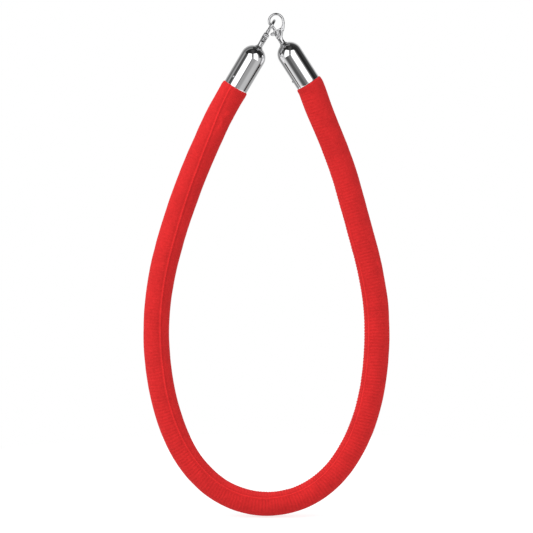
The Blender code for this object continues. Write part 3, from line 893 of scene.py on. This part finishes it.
def make_floor():
    work = bmesh.new()
    bmesh.ops.create_circle(work, cap_ends=True, segments=96, radius=0.75)
    mesh = bpy.data.meshes.new("floor")
    work.to_mesh(mesh)
    work.free()
    floor = link(bpy.data.objects.new("floor", mesh))
    floor.location = (0.0, 0.0, -0.7728)
    mat, tree, shader = new_material("floor_paper")
    shader.inputs["Base Color"].default_value = (0.34, 0.34, 0.34, 1.0)
    shader.inputs["Roughness"].default_value = 0.9
    shader.inputs["Specular IOR Level"].default_value = 0.0
    shader.inputs["Emission Color"].default_value = (1.0, 1.0, 1.0, 1.0)
    path = node(tree, "ShaderNodeLightPath")
    glow = node(tree, "ShaderNodeMath", operation="MULTIPLY_ADD")
    join(tree, path.outputs["Is Diffuse Ray"], glow.inputs[0])
    glow.inputs[1].default_value, glow.inputs[2].default_value = -0.36, 0.78
    join(tree, glow.outputs[0], shader.inputs["Emission Strength"])
    mesh.materials.append(mat)
    return floor


make_floor()


def make_world():
    """Two soft boxes in front, left and right, with a dark ceiling, a pale table and grey walls round them."""
    world = bpy.data.worlds.new("studio")
    scene.world = world
    world.use_nodes = True
    tree = world.node_tree
    for old in list(tree.nodes):
        tree.nodes.remove(old)
    output = node(tree, "ShaderNodeOutputWorld")
    where = node(tree, "ShaderNodeTexCoord")
    split = node(tree, "ShaderNodeSeparateXYZ")
    join(tree, where.outputs["Generated"], split.inputs[0])
    x, y, z = split.outputs

    def math_node(operation, a, b=None, clamp=False):
        made = node(tree, "ShaderNodeMath", operation=operation)
        made.use_clamp = clamp
        for i, value in enumerate((a, b)):
            if value is None:
                continue
            if isinstance(value, (int, float)):
                made.inputs[i].default_value = value
            else:
                join(tree, value, made.inputs[i])
        return made.outputs[0]

    def step(value, low, high, a=0.0, b=1.0):
        made = node(tree, "ShaderNodeMapRange", interpolation_type="SMOOTHSTEP")
        join(tree, value, made.inputs["Value"])
        made.inputs["From Min"].default_value, made.inputs["From Max"].default_value = low, high
        made.inputs["To Min"].default_value, made.inputs["To Max"].default_value = a, b
        return made.outputs["Result"]

    def along(axis):
        made = node(tree, "ShaderNodeVectorMath", operation="DOT_PRODUCT")
        join(tree, where.outputs["Generated"], made.inputs[0])
        made.inputs[1].default_value = axis
        return made.outputs["Value"]

    def mix(factor, a, b):
        made = node(tree, "ShaderNodeMix", data_type="FLOAT")
        join(tree, factor, made.inputs[0])
        for i, value in ((2, a), (3, b)):
            if isinstance(value, (int, float)):
                made.inputs[i].default_value = value
            else:
                join(tree, value, made.inputs[i])
        return made.outputs[0]

    ring = math_node("DIVIDE", math_node("ARCCOSINE", math_node("MULTIPLY", y, -1.0)), math.pi)

    def walls(stops):
        made = ramp(tree, ring, [(degrees / 180.0, value) for degrees, value in stops])
        return made.outputs["Color"]

    upper_left = walls([(0, 0.38), (10, 0.42), (56, 0.25), (65, 0.11), (74, 0.06), (83, 0.10), (92, 0.40), (101, 0.33), (112, 0.17), (122, 0.14), (133, 0.27), (144, 0.5), (180, 0.6)])
    lower_right = walls([(0, 0.38), (27, 0.38), (36, 0.48), (43, 0.58), (76, 0.57), (83, 0.34), (92, 0.17), (101, 0.18), (108, 0.36), (134, 0.45), (144, 0.55), (180, 0.6)])
    lower_left = walls([(0, 0.11), (9, 0.21), (20, 0.21), (26, 0.11), (45, 0.09), (52, 0.20), (60, 0.50), (68, 0.80), (90, 0.83), (103, 0.6), (115, 0.28), (124, 0.21), (135, 0.4), (148, 0.6), (180, 0.6)])
    upper_right = walls([(0, 0.11), (4, 0.10), (9, 0.33), (54, 0.5), (61, 0.25), (69, 0.028), (90, 0.018), (101, 0.045), (121, 0.06), (130, 0.13), (140, 0.45), (153, 0.7), (180, 0.6)])
    right_side = step(x, -0.03, 0.03)
    above = step(z, -0.05, 0.05)
    room = mix(above, mix(right_side, lower_left, lower_right), mix(right_side, upper_left, upper_right))
    ceiling = math_node("MULTIPLY", step(z, 0.50, 0.62), step(y, 0.25, 0.05))
    room = mix(ceiling, room, 0.025)

    up_left, up_right = along(tuple(axis_of(RIGHT_LEAN))), along(tuple(axis_of(LEFT_LEAN)))

    def soft_box(side, low_edge, outer_slope):
        turned_by = math.radians(32.0)
        facing = along((side * math.sin(turned_by), -math.cos(turned_by), 0.0))
        top = math_node("SUBTRACT", z, math_node("MULTIPLY", facing, 0.95))
        inner = math_node("MULTIPLY", x, side)
        outer = math_node("ADD", inner, math_node("MULTIPLY", y, outer_slope))
        box = math_node("MULTIPLY", step(low_edge, 0.0, 0.03), step(top, 0.03, -0.02))
        box = math_node("MULTIPLY", box, step(inner, 0.10, 0.15))
        return math_node("MULTIPLY", box, step(outer, 0.06, 0.0))

    gap = math_node("MULTIPLY", step(z, 0.06, 0.16), math_node("MULTIPLY", step(math_node("ABSOLUTE", x), 0.24, 0.16), step(y, 0.0, -0.2)))
    room = mix(gap, room, 0.07)
    left_box = soft_box(-1.0, up_left, 1.25)
    right_box = soft_box(1.0, up_right, 1.15)
    boxes = math_node("MAXIMUM", left_box, right_box)
    seen_in_metal = mix(boxes, room, 1.5)

    fill = math_node("ADD", along((-0.16, -0.06, 0.26)), 0.82)
    path = node(tree, "ShaderNodeLightPath")
    level = mix(path.outputs["Is Glossy Ray"], fill, seen_in_metal)
    level = mix(path.outputs["Is Camera Ray"], level, 1.0)
    background = node(tree, "ShaderNodeBackground")
    join(tree, level, background.inputs["Color"])
    join(tree, background.outputs[0], output.inputs["Surface"])


make_world()


def area_light(name, location, target, size, energy):
    light = bpy.data.lights.new(name, "AREA")
    light.shape = "RECTANGLE"
    light.size, light.size_y = size
    light.energy = energy
    obj = link(bpy.data.objects.new(name, light))
    obj.location = location
    obj.rotation_mode = "QUATERNION"
    obj.rotation_quaternion = (Vector(target) - Vector(location)).to_track_quat("-Z", "Y")
    obj.visible_glossy = False
    obj.visible_camera = False
    return obj


area_light("key", (-2.1, -1.5, 1.7), (0.0, 0.0, -0.4), (1.2, 1.6), 36.0)
